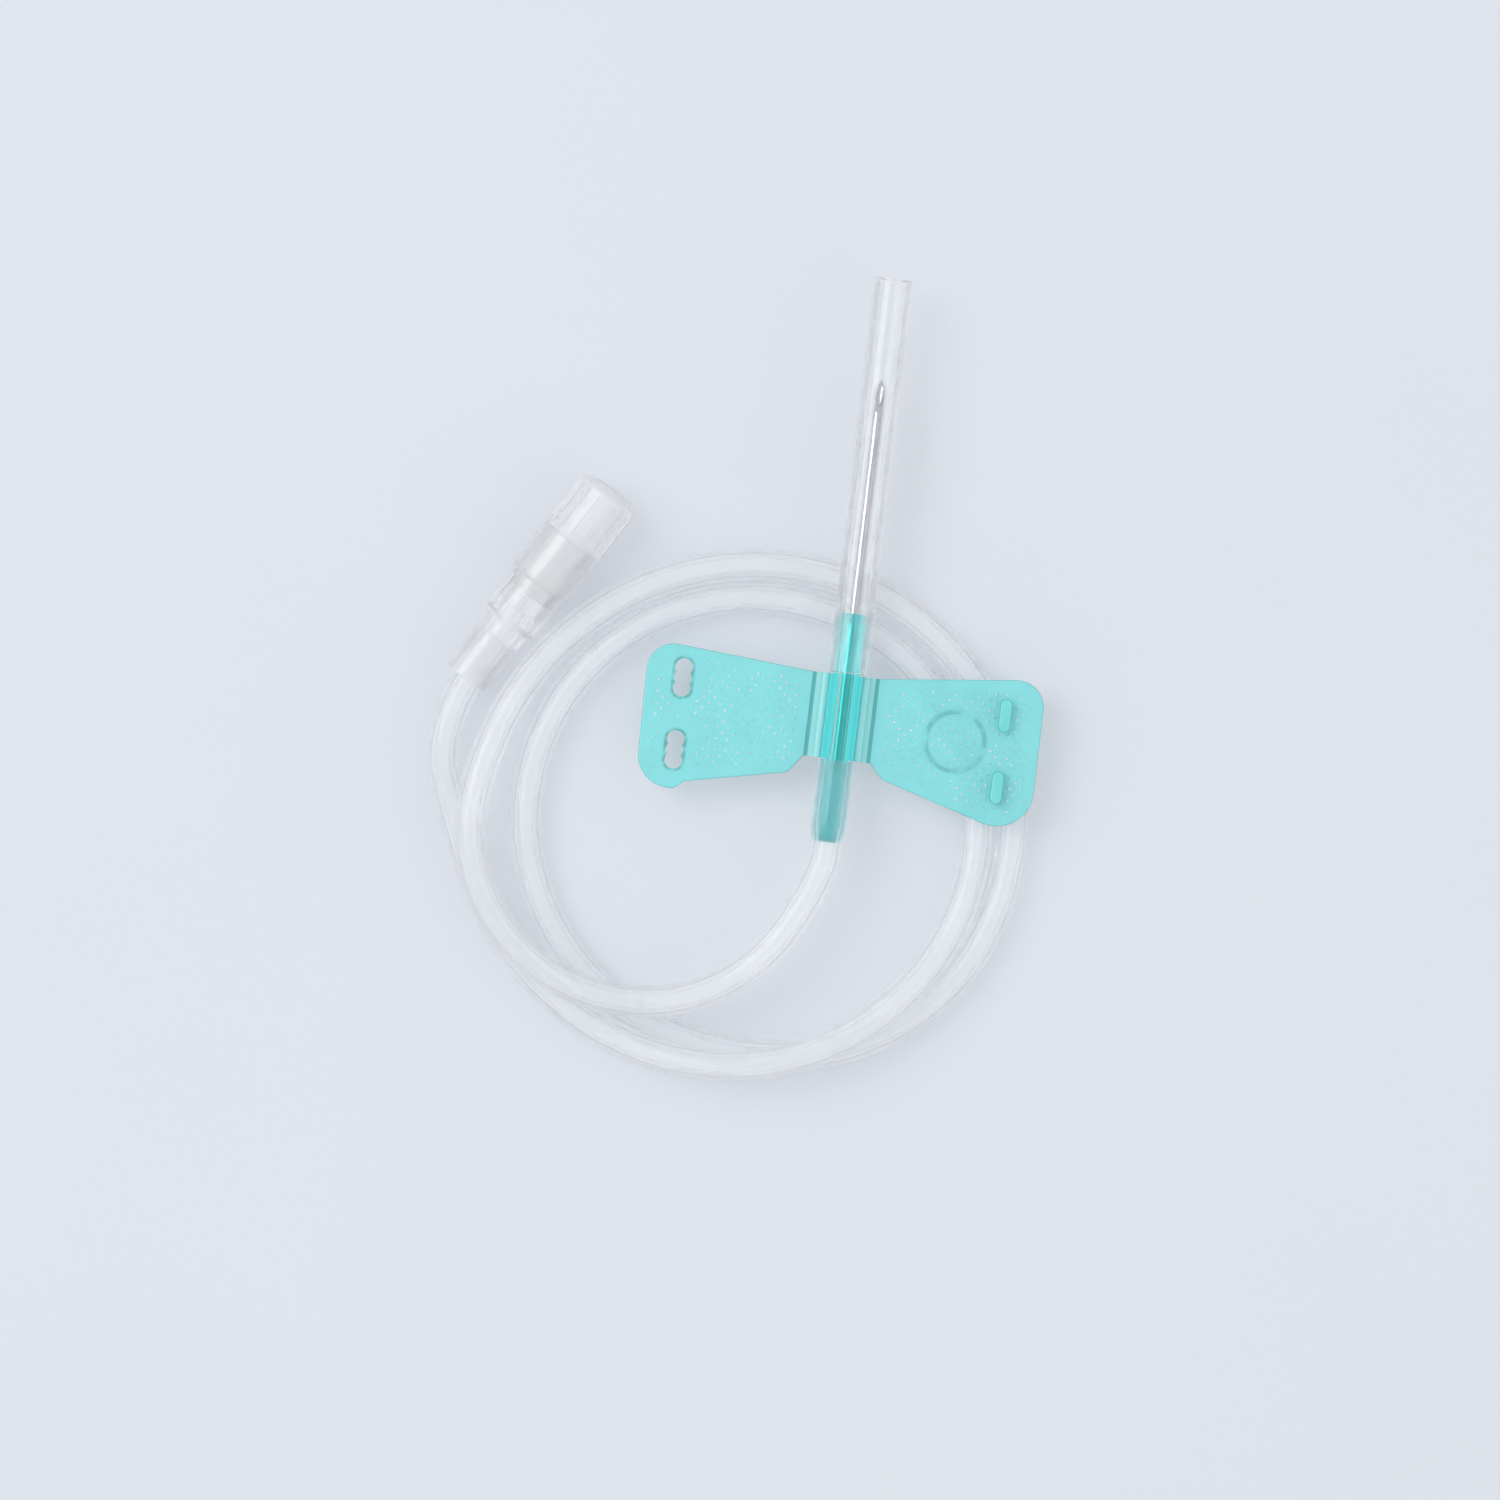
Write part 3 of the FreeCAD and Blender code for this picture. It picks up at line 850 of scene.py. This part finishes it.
class BUTTERFLY_OT_stage(bpy.types.Operator):
    """Make the floor, the soft light and the camera that looks straight down"""
    bl_idname = "butterfly.stage"
    bl_label = "Stage"

    def execute(self, context):
        stage = context.scene.butterfly.stage
        scene = context.scene
        bm = bmesh.new()
        bmesh.ops.create_circle(bm, cap_ends=True, segments=64, radius=stage.floor_radius)
        bmesh.ops.translate(bm, verts=bm.verts, vec=(0, 0, FLOOR_LEVEL))
        floor = from_bmesh("floor", bm)
        paint(floor, matt_paper_floor("matt_paper_floor", tuple(stage.floor_tint), 0.5))

        camera_data = bpy.data.cameras.new("camera")
        camera_data.sensor_width = 36
        camera_data.lens = 36 * stage.camera_height / stage.view_width
        camera_data.clip_start = 0.01
        camera_data.clip_end = 20
        camera = new_object("camera", camera_data)
        camera.location = Vector(stage.centre) + Vector((0, 0, stage.camera_height))
        camera.rotation_euler = (0, 0, stage.turn)
        scene.camera = camera

        soft_light("main_light", (-0.5, 0.18, 0.64), stage.centre, 0.5, stage.key_power)
        soft_light("second_light", (0.6, -0.3, 0.5), stage.centre, 0.7, stage.fill_power)
        world = bpy.data.worlds.new("studio")
        world.use_nodes = True
        background = world.node_tree.nodes["Background"]
        background.inputs["Color"].default_value = (1, 1, 1, 1)
        scene.world = world
        tree = world.node_tree
        tree.links.new(
            ramped(tree, seen_directly(tree), 0, 1, stage.sky, 1.0), background.inputs["Strength"],
        )
        scene.view_settings.view_transform = "Standard"
        scene.cycles.max_bounces = stage.bounces
        scene.cycles.transmission_bounces = stage.bounces
        return {"FINISHED"}


class BUTTERFLY_PT_panel(bpy.types.Panel):
    """Sizes, colours and steps of the set"""
    bl_idname = "BUTTERFLY_PT_panel"
    bl_label = "Butterfly needle"
    bl_space_type = "VIEW_3D"
    bl_region_type = "UI"
    bl_category = "Butterfly needle"

    def draw(self, context):
        settings = context.scene.butterfly
        for group in (settings.stage, settings.tubing, settings.wings):
            box = self.layout.box()
            for name in group.bl_rna.properties.keys():
                if name not in ("rna_type", "name"):
                    box.prop(group, name)
        for step in STEPS:
            self.layout.operator(step.bl_idname)


SETTINGS = (TubingSettings, WingSettings, StageSettings, ButterflySettings)
STEPS = (
    BUTTERFLY_OT_stage,
    BUTTERFLY_OT_tubing,
    BUTTERFLY_OT_wings,
    BUTTERFLY_OT_fold_skins,
    BUTTERFLY_OT_hub,
    BUTTERFLY_OT_cannula,
    BUTTERFLY_OT_sheath,
    BUTTERFLY_OT_connector,
)
CLASSES = (*SETTINGS, *STEPS, BUTTERFLY_PT_panel)


def register():
    """Registers the classes and puts the settings on the scene."""
    for cls in CLASSES:
        bpy.utils.register_class(cls)
    bpy.types.Scene.butterfly = PointerProperty(type=ButterflySettings)


def unregister():
    """Takes the settings and the classes away again."""
    del bpy.types.Scene.butterfly
    for cls in reversed(CLASSES):
        bpy.utils.unregister_class(cls)


def main():
    """Runs every step in order."""
    register()
    bpy.ops.butterfly.stage()
    bpy.ops.butterfly.tubing()
    bpy.ops.butterfly.wings()
    bpy.ops.butterfly.fold_skins()
    bpy.ops.butterfly.hub()
    bpy.ops.butterfly.cannula()
    bpy.ops.butterfly.sheath()
    bpy.ops.butterfly.connector()


if __name__ == "__main__":
    main()
